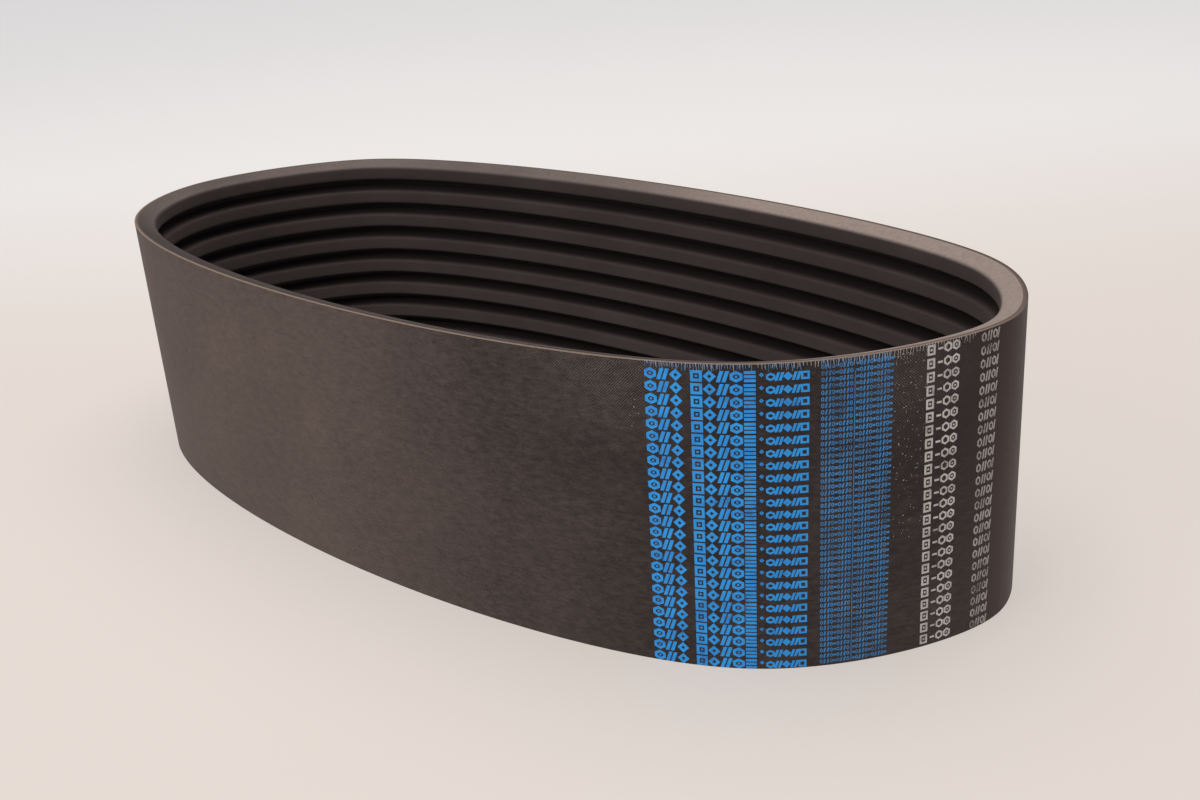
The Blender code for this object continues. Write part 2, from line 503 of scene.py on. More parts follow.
# Its cut edge shows beside the outer ply's, darker because less of it stands in the open.
height = add_node(tree, "SeparateXYZ", {"Vector": mm}).outputs["Y"]
edge = add_node(
    tree, "Math", {0: height, 1: 1000.0 * BAND_WIDTH - EDGE_MM}, operation="GREATER_THAN"
).outputs[0]
colour = add_node(
    tree, "Mix", {"Factor": edge, "A": colour, "B": linear("#5a4e46")}, data_type="RGBA"
).outputs["Result"]
cover(tree, shader, colour, weave, 0.4, 0.0001)

inner_ply = add_slice(
    "band_inner_ply", INNER_PLY_DEPTHS, (INNER_PLY_SETBACK, BAND_WIDTH - INNER_PLY_SETBACK)
)
round_long_edges(inner_ply, INNER_PLY_DEPTHS[1], INNER_PLY_ROUND, 2)
make_strip(inner_ply, 0.0, 1.0)
bend_round_loop(inner_ply)
finish_piece(inner_ply, lining, "band_lining", "tie_band_inner_ply")


# ---- Rib jackets --------------------------------------------------------------------------------
# Each rib is wrapped in one layer of bias cloth, folded round its flanks and tip and open towards
# the tie band. Moulding pulls the cloth tight, so its two corners at the tip are softly rounded.

RIB_COUNT = 9
RIB_WIDTH = 0.0170
RIB_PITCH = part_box("rib_2_fabric_jacket")[0].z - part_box("rib_1_fabric_jacket")[0].z
RIB_DEPTHS = (0.0026, BELT_THICKNESS)
FLANK_ANGLE = math.radians(20.0)
JACKET_WALL = 0.0009
TIP_ROUND = 0.0016
# What the unwrapping adds to the height on a flank, for each metre of depth, to keep its length.
FLANK_FOLD = 1.0 / math.cos(FLANK_ANGLE) - math.tan(FLANK_ANGLE)


def rib_block(name, depths, clearance):
    """A slice of a rib between two depths, with its flanks this far inside the jacket's outside."""
    top, bottom = depths
    inset = clearance / math.cos(FLANK_ANGLE)
    wide = RIB_WIDTH - 2.0 * (inset + (top - RIB_DEPTHS[0]) * math.tan(FLANK_ANGLE))
    narrow = RIB_WIDTH - 2.0 * (inset + (bottom - RIB_DEPTHS[0]) * math.tan(FLANK_ANGLE))
    middle = RIB_WIDTH / 2.0
    piece = add_slice(name, depths, (middle - wide / 2.0, middle + wide / 2.0))
    select_faces(piece, lambda face: face.normal.y > 0.9)
    bpy.ops.transform.resize(
        value=(1.0, 1.0, narrow / wide), center_override=(SLICE / 2.0, bottom, middle)
    )
    bpy.ops.object.mode_set(mode="OBJECT")
    return piece


def copy_to_ribs(first, layer, material, slot):
    """Sets the layer's finished ring on rib 1, and a copy of it on every other rib."""
    rings = [first]
    for step in range(1, RIB_COUNT):
        piece = first.copy()
        piece.data = first.data.copy()
        bpy.context.collection.objects.link(piece)
        piece.data.transform(Matrix.Translation((0.0, 0.0, step * RIB_PITCH)))
        rings.append(piece)
    for number, piece in enumerate(rings, start=1):
        piece.name = piece.data.name = f"rib_{number}_wrapped_{layer}"
        finish_piece(piece, material, slot, f"rib_{number}_{layer}")


# Wrapped bias cloth: the same rubber-soaked weave, darker than the back. Flanks deep in the grooves
# are painted black as shade, and each tip has a painted highlight along its upper corner. The top
# rib's upper flank lies open, and dust has settled on it.
jacket_cloth, tree, shader = start_material(
    "wrapped_bias_cloth",
    IOR=1.5,
    Metallic=0.0,
    Specular_IOR_Level=0.24,
    Sheen_Weight=0.04,
    Sheen_Roughness=0.4,
)
shader.inputs["Sheen Tint"].default_value = linear("#cdbfb6")
mm = belt_millimetres(tree)
weave = bias_weave(tree, mm)
place = add_node(tree, "TexCoord").outputs["Object"]
at = add_node(tree, "SeparateXYZ", {"Vector": place})
patches = add_node(
    tree, "TexNoise", {"Vector": place, "Scale": 14.0, "Detail": 5.0, "Roughness": 0.6}
).outputs["Fac"]
grain = add_node(
    tree, "TexNoise", {"Vector": place, "Scale": 420.0, "Detail": 3.0, "Roughness": 0.6}
).outputs["Fac"]
# Height within one rib, as a share of the pitch: lower flank, tip, upper flank, groove.
up_the_rib = add_node(
    tree, "Math", {0: at.outputs["Z"], 1: 1.0 / RIB_PITCH}, operation="MULTIPLY"
).outputs[0]
up_the_rib = add_node(tree, "Math", {0: up_the_rib}, operation="FRACT").outputs[0]
# Painted light by height: black shade deep in the grooves, a highlight on each tip's upper corner.
wear_and_painted_light = add_node(tree, "ValToRGB", {"Fac": up_the_rib})
set_levels(
    wear_and_painted_light,
    (0.20, 0.0),
    (0.25, 0.84),
    (0.59, 0.88),
    (0.66, 1.0),
    (0.70, 0.74),
    (0.735, 0.25),
    (0.79, 0.0),
)
open_flank = add_node(
    tree,
    "MapRange",
    {
        "Value": at.outputs["Z"],
        "From Min": BAND_WIDTH - 0.0048,
        "From Max": BAND_WIDTH - 0.0031,
    },
).outputs["Result"]
# Across the loop it is lighter towards the right and on the far side, and darker along the near side.
across_loop = add_node(
    tree, "MapRange", {"Value": at.outputs["X"], "From Min": -0.33, "From Max": 0.33}
).outputs["Result"]
thickness = add_node(tree, "ValToRGB", {"Fac": across_loop})
set_levels(
    thickness, (0.0, 0.10), (0.10, 0.25), (0.30, 0.19), (0.47, 0.35), (0.575, 0.63), (0.66, 0.9)
)
off_the_near_side = add_node(
    tree,
    "MapRange",
    {"Value": at.outputs["Y"], "From Min": -0.115, "From Max": -0.06, "To Min": 0.15},
).outputs["Result"]
settled = add_node(
    tree, "Math", {0: patches, 1: 0.4, 2: thickness.outputs["Color"]}, operation="MULTIPLY_ADD"
).outputs[0]
for share in (open_flank, off_the_near_side):
    settled = add_node(
        tree, "Math", {0: settled, 1: share}, operation="MULTIPLY", use_clamp=True
    ).outputs[0]
cloth = add_node(
    tree,
    "Mix",
    {"Factor": patches, "A": linear("#2c2727"), "B": linear("#4f4646")},
    data_type="RGBA",
).outputs["Result"]
# Painted groove shade: the cloth goes near black where that ramp is low.
cloth = add_node(
    tree,
    "Mix",
    {"Factor": wear_and_painted_light.outputs["Color"], "A": linear("#251f20"), "B": cloth},
    data_type="RGBA",
).outputs["Result"]
dusty = add_node(
    tree,
    "Mix",
    {"Factor": grain, "A": linear("#746b66"), "B": linear("#988e88")},
    data_type="RGBA",
).outputs["Result"]
colour = add_node(
    tree, "Mix", {"Factor": settled, "A": cloth, "B": dusty}, data_type="RGBA"
).outputs["Result"]
gloss = add_node(tree, "MapRange", {"Value": settled, "To Min": 0.7, "To Max": 0.84})
tree.links.new(gloss.outputs["Result"], shader.inputs["Roughness"])
cover(tree, shader, colour, weave, 0.4, 0.0001)

jacket = rib_block("jacket", RIB_DEPTHS, 0.0)
round_long_edges(jacket, RIB_DEPTHS[1], TIP_ROUND, 5)
select_faces(jacket, lambda face: face.normal.y < -0.9 or abs(face.normal.x) > 0.5)
bpy.ops.mesh.delete(type="FACE")
bpy.ops.object.mode_set(mode="OBJECT")
wall = jacket.modifiers.new("wall", "SOLIDIFY")
wall.thickness = JACKET_WALL
wall.offset = -1.0
wall.use_even_offset = True
bpy.ops.object.modifier_apply(modifier=wall.name)
make_strip(jacket, BELT_THICKNESS, FLANK_FOLD)
bend_round_loop(jacket)
copy_to_ribs(jacket, "fabric_jacket", jacket_cloth, "jacket_fabric")


# ---- Compression rubber -------------------------------------------------------------------------
# The body of each rib: black chloroprene rubber with short fibres in it, laid across the belt. It
# fills the jacket and carries the side load from the pulley's flanks to the cords.

CORE_DEPTHS = (0.00595, 0.01268)
CORE_CLEARANCE = 0.00092

core_rubber, tree, shader = start_material(
    "fibre_filled_chloroprene_rubber", IOR=1.52, Roughness=0.6, Metallic=0.0
)
mm = belt_millimetres(tree)
# Fibres about 0.15 mm thick and 3 mm long, drawn coarse enough to show on the rubber.
laid = add_node(tree, "Mapping", {"Vector": mm, "Scale": (4.0, 0.4, 1.0)}).outputs["Vector"]
fibres = add_node(tree, "TexNoise", {"Vector": laid, "Scale": 1.0, "Detail": 2.0}).outputs["Fac"]
shown = add_node(
    tree, "MapRange", {"Value": fibres, "From Min": 0.60, "From Max": 0.72}
).outputs["Result"]
colour = add_node(
    tree,
    "Mix",
    {"Factor": shown, "A": linear("#171617"), "B": linear("#3b3733")},
    data_type="RGBA",
).outputs["Result"]
cover(tree, shader, colour, fibres, 0.4, 0.00008)

core = rib_block("core", CORE_DEPTHS, CORE_CLEARANCE)
round_long_edges(core, CORE_DEPTHS[1], TIP_ROUND - JACKET_WALL, 3)
make_strip(core, CORE_DEPTHS[1], FLANK_FOLD)
bend_round_loop(core)
copy_to_ribs(core, "compression_rubber", core_rubber, "compression_rubber")


# ---- Tensile cords ------------------------------------------------------------------------------
# What makes the belt strong: one twisted polyester cord in each rib, wound round the whole loop
# eight times, side by side. It climbs one pitch in each turn, and its two ends are cut off.

CORD_TURNS = 8
CORD_PITCH = 0.0014
CORD_THICKNESS = 0.0011
CORD_MIDDLE_DEPTH = 0.00515
CORD_SIDES = 6
CORD_STEPS = 240

cord_fibre, tree, shader = start_material(
    "twisted_polyester_cord", IOR=1.55, Roughness=0.55, Metallic=0.0
)
around = add_node(tree, "UVMap", uv_map="cord").outputs["UV"]
# Three strands that turn once in each length of 6.6 mm: the stripes run round as they run along.
strands = add_node(
    tree,
    "TexWave",
    {"Vector": around, "Scale": 3.0 * math.pi / 10.0},
    bands_direction="DIAGONAL",
).outputs["Fac"]
colour = add_node(
    tree,
    "Mix",
    {"Factor": strands, "A": linear("#8f846c"), "B": linear("#d6cab0")},
    data_type="RGBA",
).outputs["Result"]
cover(tree, shader, colour, strands, 0.6, 0.0001)

bpy.ops.object.select_all(action="DESELECT")
cord_step = BACK_LENGTH / CORD_STEPS
cord_rise = CORD_PITCH / CORD_STEPS
first_height = (RIB_WIDTH - CORD_TURNS * CORD_PITCH) / 2.0
bpy.ops.mesh.primitive_cylinder_add(
    vertices=CORD_SIDES,
    radius=CORD_THICKNESS / 2.0,
    depth=cord_step,
    end_fill_type="NOTHING",
    location=(cord_step / 2.0, CORD_MIDDLE_DEPTH, first_height),
    rotation=(0.0, math.radians(90.0), 0.0),
)
bpy.ops.object.transform_apply(location=True, rotation=True, scale=True)
cord = bpy.context.object
cord.data.uv_layers[0].name = "cord"
for corner in cord.data.vertices:
    if corner.co.x > cord_step / 2.0:
        corner.co.z += cord_rise
for name, count, move in (
    ("along_one_turn", CORD_STEPS, (cord_step, 0.0, cord_rise)),
    ("turn_by_turn", CORD_TURNS, (0.0, 0.0, CORD_PITCH)),
):
    row = cord.modifiers.new(name, "ARRAY")
    row.count = count
    row.use_relative_offset = False
    row.use_constant_offset = True
    row.constant_offset_displace = move
    row.use_merge_vertices = name == "along_one_turn"
    row.merge_threshold = STRIP_WELD
    bpy.ops.object.modifier_apply(modifier=row.name)
bend_round_loop(cord)
bpy.ops.object.mode_set(mode="EDIT")
bpy.ops.mesh.select_all(action="SELECT")
bpy.ops.mesh.fill_holes(sides=CORD_SIDES)
bpy.ops.mesh.normals_make_consistent(inside=False)
bpy.ops.object.mode_set(mode="OBJECT")
copy_to_ribs(cord, "tensile_cord", cord_fibre, "tensile_cord")


# ---- Cushion gum --------------------------------------------------------------------------------
# A soft dark gum between the cords and the tie band. It bonds the cords, which sink a little into
# it, so it is smooth and slightly glossier than the rib's own rubber.

GUM_DEPTHS = (0.00262, 0.00455)
GUM_ROUND = 0.0002

gum, tree, shader = start_material("dark_cushion_gum", IOR=1.52, Metallic=0.0)
mm = belt_millimetres(tree)
flow = add_node(tree, "TexNoise", {"Vector": mm, "Scale": 0.2, "Detail": 3.0}).outputs["Fac"]
colour = add_node(
    tree,
    "Mix",
    {"Factor": flow, "A": linear("#1f1c1b"), "B": linear("#2e2926")},
    data_type="RGBA",
).outputs["Result"]
gloss = add_node(tree, "MapRange", {"Value": flow, "To Min": 0.38, "To Max": 0.55})
tree.links.new(gloss.outputs["Result"], shader.inputs["Roughness"])
cover(tree, shader, colour, flow, 0.2, 0.0001)

cushion = rib_block("cushion", GUM_DEPTHS, CORE_CLEARANCE)
round_long_edges(cushion, GUM_DEPTHS[1], GUM_ROUND, 2)
make_strip(cushion, GUM_DEPTHS[1], FLANK_FOLD)
bend_round_loop(cushion)
copy_to_ribs(cushion, "cushion_gum", gum, "cushion_gum")


# ---- Blue printing ------------------------------------------------------------------------------
# Bands of blue ink across the back, put on from a transfer sheet before the belt was cured. Plain
# marks stand in columns, the same in every row. The ink has sunk into the weave and worn thin.

INK_PROUD = 0.00005
INK_SUNK = 0.00006
# Marks are so small that only points at one place are joined in them.
PRINT_WELD = 0.000001
BLUE_ROWS = 25
BLUE_ROW_PITCH = 0.00667
BLUE_LOWEST_ROW = 0.0031
# The wide blue transfer sheets went on about one degree askew, and the fine one half as much.
BLUE_SKEW = 0.018
FINE_SKEW = 0.009


def ink(name, bright, faded, wear):
    """Ink on the weave: faded where the cloth's crowns are rubbed, gone where it flaked off."""
    material, tree, shader = start_material(name, IOR=1.48, Roughness=0.5, Metallic=0.0)
    mm = belt_millimetres(tree)
    weave = bias_weave(tree, mm)
    wear_and_painted_light = add_node(
        tree, "TexNoise", {"Vector": mm, "Scale": 0.07, "Detail": 5.0, "Roughness": 0.7}
    ).outputs["Fac"]
    flecks = add_node(tree, "TexNoise", {"Vector": mm, "Scale": 1.6, "Detail": 2.0}).outputs["Fac"]
    worn = add_node(
        tree, "Math", {0: flecks, 1: 0.55, 2: wear_and_painted_light}, operation="MULTIPLY_ADD"
    ).outputs[0]
    worn = add_node(
        tree, "Math", {0: weave, 1: -0.15, 2: worn}, operation="MULTIPLY_ADD"
    ).outputs[0]
    gone = add_node(
        tree,
        "MapRange",
        {"Value": worn, "From Min": 0.86 - wear, "From Max": 1.02 - wear},
    ).outputs["Result"]
    tone = add_node(
        tree, "MapRange", {"Value": wear_and_painted_light, "From Min": 0.35, "From Max": 0.65}
    ).outputs["Result"]
    painted = add_node(
        tree,
        "Mix",
        {"Factor": tone, "A": linear(bright), "B": linear(faded)},
        data_type="RGBA",
    ).outputs["Result"]
    colour = add_node(
        tree,
        "Mix",
        {"Factor": gone, "A": painted, "B": linear("#2c2625")},
        data_type="RGBA",
    ).outputs["Result"]
    cover(tree, shader, colour, weave, 0.4, 0.0001)
    return material


spares = [loop_guide]


def start_mark(name):
    """Makes a mark of the new primitive. It is only a pattern to copy, so it is removed later."""
    bpy.ops.object.transform_apply(location=True, rotation=True, scale=True)
    made = bpy.context.object
    made.name = made.data.name = name
    spares.append(made)
    return made


def size_mark(made, width, height):
    """Stretches a mark to its size, about its own middle."""
    spans = [[corner.co[side] for corner in made.data.vertices] for side in (0, 2)]
    along, across = (max(span) - min(span) for span in spans)
    bpy.ops.object.mode_set(mode="EDIT")
    bpy.ops.mesh.select_mode(type="FACE")
    bpy.ops.mesh.select_all(action="SELECT")
    bpy.ops.transform.resize(
        value=(width / along, 1.0, height / across), center_override=(0.0, 0.0, 0.0)
    )


def ring_mark(name, sides, width, height, stroke, turn=0.0):
    """A flat ring with this many sides, facing out of the belt's back."""
    bpy.ops.object.select_all(action="DESELECT")
    bpy.ops.mesh.primitive_circle_add(
        vertices=sides,
        radius=0.5,
        fill_type="NGON",
        rotation=(math.radians(90.0), math.radians(turn), 0.0),
    )
    made = start_mark(name)
    size_mark(made, width, height)
    bpy.ops.mesh.inset(thickness=stroke, use_even_offset=True)
    bpy.ops.mesh.delete(type="FACE")
    bpy.ops.object.mode_set(mode="OBJECT")
    return made


def block_mark(name, width, height, lean=0.0):
    """A flat block, or a slanted bar whose top leans along the belt."""
    bpy.ops.object.select_all(action="DESELECT")
    bpy.ops.mesh.primitive_plane_add(size=1.0, rotation=(math.radians(90.0), 0.0, 0.0))
    made = start_mark(name)
    size_mark(made, width, height)
    bpy.ops.object.mode_set(mode="OBJECT")
    for corner in made.data.vertices:
        corner.co.x += lean * corner.co.z
    return made


def stamp(mark, along, height, scale=1.0):
    """A copy of a mark, set down on the flat strip."""
    made = mark.copy()
    made.data = mark.data.copy()
    made.matrix_world = Matrix.Translation((along, 0.0, height)) @ Matrix.Scale(scale, 4)
    bpy.context.collection.objects.link(made)
    return made


def join_stamps(name, stamps):
    """Makes one piece of these stamps."""
    bpy.ops.object.select_all(action="DESELECT")
    for made in stamps:
        made.select_set(True)
    bpy.context.view_layer.objects.active = stamps[0]
    if len(stamps) > 1:
        bpy.ops.object.join()
    bpy.ops.object.transform_apply(location=True, rotation=True, scale=True)
    joined = bpy.context.object
    joined.name = joined.data.name = name
    joined.data.uv_layers[0].name = "belt"
    return joined


def print_rows(name, stamps, material, rows=1, pitch=0.0, skew=0.0):
    """Gives a row of stamps the ink's thickness, repeats it across and bends it round the loop.

    The skew is how far along the belt the rows move for each metre up. At the belt's upper edge
    they are in their stated place.
    """
    printed = join_stamps(name, stamps)
    film = printed.modifiers.new("ink_film", "SOLIDIFY")
    film.thickness = INK_PROUD + INK_SUNK
    film.offset = 0.0
    bpy.ops.object.modifier_apply(modifier=film.name)
    settled_depth = (INK_SUNK - INK_PROUD) / 2.0
    printed.data.transform(Matrix.Translation((-skew * BAND_WIDTH, settled_depth, 0.0)))
    if rows > 1:
        across = printed.modifiers.new("across_the_belt", "ARRAY")
        across.count = rows
        across.use_relative_offset = False
        across.use_constant_offset = True
        across.constant_offset_displace = (skew * pitch, 0.0, pitch)
        bpy.ops.object.modifier_apply(modifier=across.name)
    unwrap(printed)
    bend_round_loop(printed, PRINT_WELD)
    finish_piece(printed, material, "band_fabric")


blue_ink = ink("cured_blue_transfer_ink", "#20a9ff", "#1a8fe6", 0.0)
fine_blue_ink = ink("thin_blue_transfer_ink", "#3690d6", "#2a74ad", 0.05)

hexagon = ring_mark("hexagon", 6, 0.0061, 0.0060, 0.0015)
lozenge = ring_mark("lozenge", 4, 0.0064, 0.0063, 0.0015)
frame_mark = ring_mark("frame", 4, 0.0058, 0.0058, 0.0015, 45.0)
pip = block_mark("pip", 0.0014, 0.0014)
slant = block_mark("slant", 0.0019, 0.0058, 0.34)
bar = block_mark("bar", 0.0056, 0.0015)

# Along the belt: the first column's place, the step to the next, and the space after three.
WIDE_START = 1.3901
WIDE_PITCH = 0.0064
WIDE_SPACE = 0.0037
wide_row = []
for column, marks in enumerate(
    (
        ((hexagon, 0.0, 0.0), (pip, 0.0, 0.0)),
        ((slant, -0.0014, 0.0), (slant, 0.0013, 0.0)),
        ((lozenge, 0.0, 0.0),),
        ((frame_mark, 0.0, 0.0), (pip, 0.0, 0.0)),
        ((lozenge, 0.0, 0.0),),
        ((slant, -0.0014, 0.0), (slant, 0.0013, 0.0)),
        ((hexagon, 0.0, 0.0), (pip, 0.0, 0.0)),
        ((bar, 0.0, 0.0021), (bar, 0.0, 0.0), (bar, 0.0, -0.0021)),
    )
):
    middle = WIDE_START + column * WIDE_PITCH + (0.0 if column < 3 else WIDE_SPACE)
    for mark, along, up in marks:
        scale = 0.8 if mark is pip else 1.0
        wide_row.append(stamp(mark, middle + along, BLUE_LOWEST_ROW + up, scale))
print_rows("blue_print_wide_marks", wide_row, blue_ink, BLUE_ROWS, BLUE_ROW_PITCH, BLUE_SKEW)

# The same marks follow at a smaller size, after a dot that stands a little higher.
DOT_PLACE = 1.4441
DOT_SCALE = 0.36
SMALL_START = 1.4484
SMALL_PITCH = 0.0041
SMALL_SCALE = 0.72
small_row = [stamp(lozenge, DOT_PLACE, BLUE_LOWEST_ROW + 0.0008, DOT_SCALE)]
for column, marks in enumerate(
    (
        ((hexagon, 0.0),),
        ((slant, -0.00098), (slant, 0.00098)),
        ((lozenge, 0.0), (pip, 0.0)),
        ((slant, -0.00098), (slant, 0.00098)),
        ((frame_mark, 0.0),),
    )
):
    for mark, along in marks:
        place = SMALL_START + column * SMALL_PITCH + along
        small_row.append(stamp(mark, place, BLUE_LOWEST_ROW - 0.0004, SMALL_SCALE))
print_rows("blue_print_small_marks", small_row, blue_ink, BLUE_ROWS, BLUE_ROW_PITCH, BLUE_SKEW)

# The fine print has two rows to each wide one, in two blocks with a thin upright line between.
FINE_ROWS = 2 * BLUE_ROWS
FINE_LOWEST_ROW = 0.0026
FINE_START = 1.47305
FINE_PITCH = 0.00175
FINE_SPACE = 0.0012
DIVIDER_PLACE = 1.48875
DIVIDER_MIDDLE = 0.0819
fine_tick = block_mark("fine_tick", 0.0009, 0.0025, 0.20)
fine_dash = block_mark("fine_dash", 0.0014, 0.0012)
fine_ring = ring_mark("fine_ring", 6, 0.0016, 0.0025, 0.0005)
fine_row = []
for column in range(20):
    kind = (fine_ring, fine_tick, fine_dash, fine_tick, fine_ring)[column * 3 % 5]
    place = FINE_START + column * FINE_PITCH + (0.0 if column < 9 else FINE_SPACE)
    fine_row.append(stamp(kind, place, FINE_LOWEST_ROW))
print_rows(
    "blue_print_fine_marks", fine_row, fine_blue_ink, FINE_ROWS, BLUE_ROW_PITCH / 2.0, FINE_SKEW
)

divider = block_mark("divider", 0.0004, 0.1612, FINE_SKEW)
divider_line = [stamp(divider, DIVIDER_PLACE + FINE_SKEW * DIVIDER_MIDDLE, DIVIDER_MIDDLE)]
print_rows("blue_print_divider", divider_line, fine_blue_ink, skew=FINE_SKEW)


# ---- White printing -----------------------------------------------------------------------------
# Two more columns in white and in thin grey-white ink, with plain marks in place of a size code.
# The white is thick and clean; the grey one was stamped lightly and is broken by the weave.

WHITE_ROWS = 24
WHITE_ROW_PITCH = 0.00703
WHITE_LOWEST_ROW = 0.0044
WHITE_START = 1.5283
GREY_ROWS = 24
GREY_ROW_PITCH = 0.00708
GREY_LOWEST_ROW = 0.0030
GREY_START = 1.5600

white_ink = ink("white_transfer_ink", "#dcd8d6", "#aca8a6", 0.02)
grey_ink = ink("thin_grey_stamping_ink", "#bab5b2", "#96918e", 0.09)

tall_frame = ring_mark("tall_frame", 4, 0.0044, 0.0054, 0.0011, 45.0)
tall_hexagon = ring_mark("tall_hexagon", 6, 0.0044, 0.0054, 0.0010)
white_dash = block_mark("white_dash", 0.0028, 0.0011)
white_row = []
for mark, along, scale in (
    (tall_frame, 0.0, 1.0),
    (pip, 0.0, 0.8),
    (white_dash, 0.0052, 1.0),
    (tall_hexagon, 0.0095, 1.0),
    (tall_hexagon, 0.0143, 1.0),
    (pip, 0.0143, 0.7),
):
    white_row.append(stamp(mark, WHITE_START + along, WHITE_LOWEST_ROW, scale))
print_rows("white_print_marks", white_row, white_ink, WHITE_ROWS, WHITE_ROW_PITCH)

thin_slant = block_mark("thin_slant", 0.0010, 0.0052, 0.16)
thin_ring = ring_mark("thin_ring", 6, 0.0032, 0.0052, 0.0009)
grey_row = []
for mark, along in (
    (thin_ring, 0.0),
    (thin_slant, 0.0030),
    (thin_slant, 0.0048),
    (thin_ring, 0.0078),
    (thin_slant, 0.0103),
):
    grey_row.append(stamp(mark, GREY_START + along, GREY_LOWEST_ROW))
print_rows("grey_print_marks", grey_row, grey_ink, GREY_ROWS, GREY_ROW_PITCH)


# ---- Specks and cut threads ---------------------------------------------------------------------
# White specks of transfer ink lie between the blue and the white columns. Along the near upper
# edge the knife has pulled out short ends of the cloth's pale polyester threads.

SPECK_RADIUS = 0.0002
# Specks lie between these places along the belt, and down to this far below its upper edge.
SPECK_STRETCH = (1.5085, 1.5300)
SPECK_TOP = 0.002
SPECK_REACH = 0.100
# A few more lie close together round one place, to the left of the blue print.
SPLASH_PLACE = 1.3815
SPLASH_DROP = 0.0265
SPLASH_SPREAD = (0.0022, 0.004)
THREAD_LENGTH = 0.0032
THREAD_RADII = (0.00015, 0.00008)
THREAD_PROUD = 0.00004
THREAD_HANG = 0.0015
# Stretches along the belt where the upper edge crosses blue printing, and bare cloth beside it.
BLUE_STRETCHES = ((1.3870, 1.4415), (1.4450, 1.4665), (1.4720, 1.5075))
BARE_STRETCHES = ((1.4415, 1.4450), (1.4665, 1.4720), (1.5075, 1.5560))

draw = random.Random(5)

bpy.ops.object.select_all(action="DESELECT")
bpy.ops.mesh.primitive_circle_add(
    vertices=6, radius=SPECK_RADIUS, fill_type="NGON", rotation=(math.radians(90.0), 0.0, 0.0)
)
speck = start_mark("speck")
specks = []
for _ in range(230):
    along = draw.uniform(*SPECK_STRETCH)
    height = BAND_WIDTH - SPECK_TOP - SPECK_REACH * draw.random() ** 1.6
    specks.append(stamp(speck, along, height, draw.uniform(0.5, 1.3)))
for _ in range(14):
    along = draw.gauss(SPLASH_PLACE, SPLASH_SPREAD[0])
    height = BAND_WIDTH - SPLASH_DROP + draw.gauss(0.0, SPLASH_SPREAD[1])
    specks.append(stamp(speck, along, height, draw.uniform(0.5, 1.0)))
print_rows("white_ink_specks", specks, white_ink)

thread_fibre, tree, shader = start_material(
    "pale_polyester_thread", IOR=1.55, Roughness=0.7, Metallic=0.0
)
place = add_node(tree, "TexCoord").outputs["Object"]
soil = add_node(tree, "TexNoise", {"Vector": place, "Scale": 900.0, "Detail": 2.0}).outputs["Fac"]
colour = add_node(
    tree,
    "Mix",
    {"Factor": soil, "A": linear("#8a8683"), "B": linear("#dcdad9")},
    data_type="RGBA",
).outputs["Result"]
tree.links.new(colour, shader.inputs["Base Color"])

# Where the blue ink ran over the edge, the threads have taken some of it up.
tinted_thread = ink("blue_tinted_polyester_thread", "#8fc0ee", "#4b94d8", 0.0)

bpy.ops.object.select_all(action="DESELECT")
root_radius, tip_radius = THREAD_RADII
bpy.ops.mesh.primitive_cone_add(
    vertices=4, radius1=root_radius, radius2=tip_radius, depth=THREAD_LENGTH
)
thread = start_mark("thread")


def cut_threads(name, stretches, spacing, material):
    """Thread ends that hang over the back from its upper edge, all along these stretches.

    Each has its own length, place and lean.
    """
    made = []
    for first, last in stretches:
        for place in range(int((last - first) / spacing)):
            reach = draw.uniform(0.45, 1.25)
            along = first + spacing * (place + draw.uniform(0.3, 0.7))
            top = BAND_WIDTH + draw.uniform(-0.0005, 0.0002)
            end = stamp(thread, 0.0, 0.0)
            end.matrix_world = (
                Matrix.Translation((along, -THREAD_PROUD, top - THREAD_HANG * reach))
                @ Matrix.Rotation(draw.gauss(0.0, 0.12), 4, "Y")
                @ Matrix.Rotation(math.pi + draw.gauss(0.0, 0.02), 4, "X")
                @ Matrix.Diagonal((1.0, 1.0, reach, 1.0))
            )
            made.append(end)
    frays = join_stamps(name, made)
    unwrap(frays)
    bend_round_loop(frays, PRINT_WELD)
    finish_piece(frays, material, "band_fabric")


cut_threads("cut_thread_ends", BARE_STRETCHES, 0.0017, thread_fibre)
cut_threads("pale_threads_in_print", BLUE_STRETCHES, 0.0025, thread_fibre)
cut_threads("inked_thread_ends", BLUE_STRETCHES, 0.0014, tinted_thread)

for spare in spares:
    bpy.data.objects.remove(spare)


# ---- Floor and backdrop -------------------------------------------------------------------------
# One wide sheet of pale matt paper lies flat under the belt and far out behind it. It has a faint
# cockle, and it is lit a little from below.

paper, tree, shader = start_material("pale_matt_paper", IOR=1.45, Roughness=0.9, Metallic=0.0)
place = add_node(tree, "TexCoord").outputs["Object"]
cockle = add_node(tree, "TexNoise", {"Vector": place, "Scale": 1.6, "Detail": 3.0}).outputs["Fac"]
colour = add_node(
    tree,
    "Mix",
    {"Factor": cockle, "A": linear("#86837f"), "B": linear("#8c8985")},
    data_type="RGBA",
).outputs["Result"]
tree.links.new(colour, shader.inputs["Base Color"])
# Light comes up through the paper, and more of it further back, so that shadows stay faint.
AWAY_FROM_CAMERA = (-0.679, 0.734, 0.0)
backward = add_node(
    tree, "VectorMath", {0: place, 1: AWAY_FROM_CAMERA}, operation="DOT_PRODUCT"
).outputs["Value"]
rise = add_node(
    tree,
    "MapRange",
    {"Value": backward, "From Min": 0.20, "From Max": 1.1},
    interpolation_type="SMOOTHSTEP",
).outputs["Result"]
glow = add_node(
    tree,
    "Mix",
    {"Factor": rise, "A": linear("#bab3ae"), "B": linear("#cbcbcc")},
    data_type="RGBA",
).outputs["Result"]
tree.links.new(glow, shader.inputs["Emission Color"])
shader.inputs["Emission Strength"].default_value = 1.0

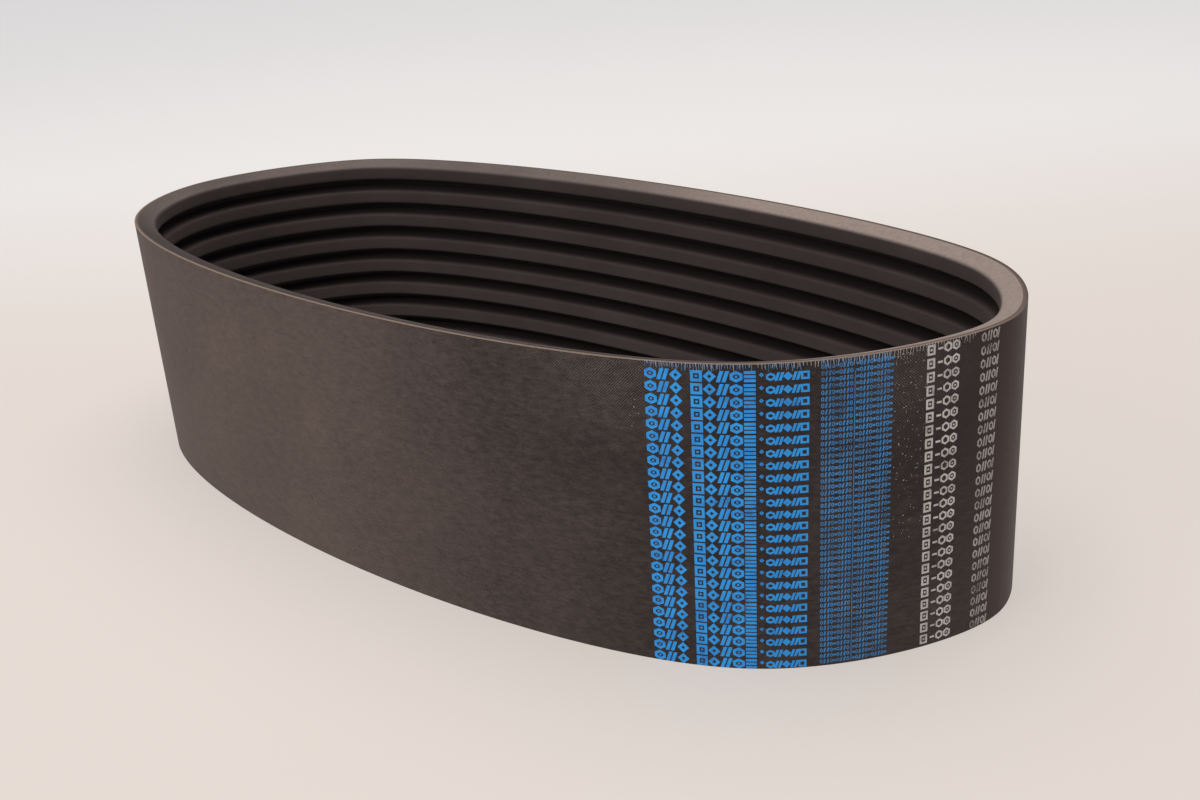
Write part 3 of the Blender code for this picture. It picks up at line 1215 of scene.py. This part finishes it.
PAPER_SIZE = 40.0
bpy.ops.object.select_all(action="DESELECT")
bpy.ops.mesh.primitive_plane_add(size=PAPER_SIZE, location=(0.0, 0.0, 0.0))
backdrop = bpy.context.object
backdrop.name = backdrop.data.name = "paper_sweep"
backdrop.data.materials.append(paper)


# ---- Light --------------------------------------------------------------------------------------
# Soft studio light: a wide panel overhead, a weaker one from the front left, and a pale room all
# round that fills the shadows.

BELT_MIDDLE = Vector((0.0, 0.0, 0.1))


def soft_panel(name, place, size, watts, colour):
    """A rectangular area light that faces the belt."""
    bpy.ops.object.light_add(type="AREA", location=place)
    panel = bpy.context.object
    panel.name = name
    panel.rotation_euler = (BELT_MIDDLE - Vector(place)).to_track_quat("-Z", "Y").to_euler()
    panel.data.shape = "RECTANGLE"
    panel.data.size, panel.data.size_y = size
    panel.data.energy = watts
    panel.data.color = linear(colour)[:3]


soft_panel("overhead_panel", (-0.1, 0.2, 2.0), (1.8, 1.8), 34.0, "#fff6f0")
soft_panel("front_panel", (-0.3, -2.0, 1.5), (1.6, 1.2), 19.0, "#fff4ee")

# The room is pale where its walls meet the floor, and greyer towards the ceiling.
room = bpy.data.worlds.new("pale_room")
bpy.context.scene.world = room
room.use_nodes = True
tree = room.node_tree
direction = add_node(tree, "TexCoord").outputs["Generated"]
upward = add_node(tree, "SeparateXYZ", {"Vector": direction}).outputs["Z"]
ceiling = add_node(
    tree,
    "MapRange",
    {"Value": upward, "From Min": 0.0, "From Max": 0.30},
    interpolation_type="SMOOTHSTEP",
).outputs["Result"]
walls = add_node(
    tree,
    "Mix",
    {"Factor": ceiling, "A": linear("#dad9d9"), "B": linear("#968f8e")},
    data_type="RGBA",
).outputs["Result"]
tree.links.new(walls, tree.nodes["Background"].inputs["Color"])
bpy.context.scene.view_settings.view_transform = "Standard"


# ---- Camera -------------------------------------------------------------------------------------
# A short telephoto view from the front right, looking a little down on the belt. It is rolled a
# few degrees, as a camera held by hand is.

CAMERA_PLACE = (0.61641, -0.59652, 0.41428)
CAMERA_AZIMUTH = 42.769
CAMERA_ELEVATION = 22.793
CAMERA_ROLL = -4.040
CAMERA_LENS = 42.11

turned = (
    Matrix.Rotation(math.radians(CAMERA_AZIMUTH), 4, "Z")
    @ Matrix.Rotation(math.radians(90.0 - CAMERA_ELEVATION), 4, "X")
    @ Matrix.Rotation(math.radians(CAMERA_ROLL), 4, "Z")
)
bpy.ops.object.camera_add(location=CAMERA_PLACE, rotation=turned.to_euler())
camera = bpy.context.object
camera.name = "camera"
camera.data.lens = CAMERA_LENS
camera.data.sensor_width = 36.0
camera.data.dof.use_dof = False
camera.data.clip_start = 0.01
bpy.context.scene.camera = camera
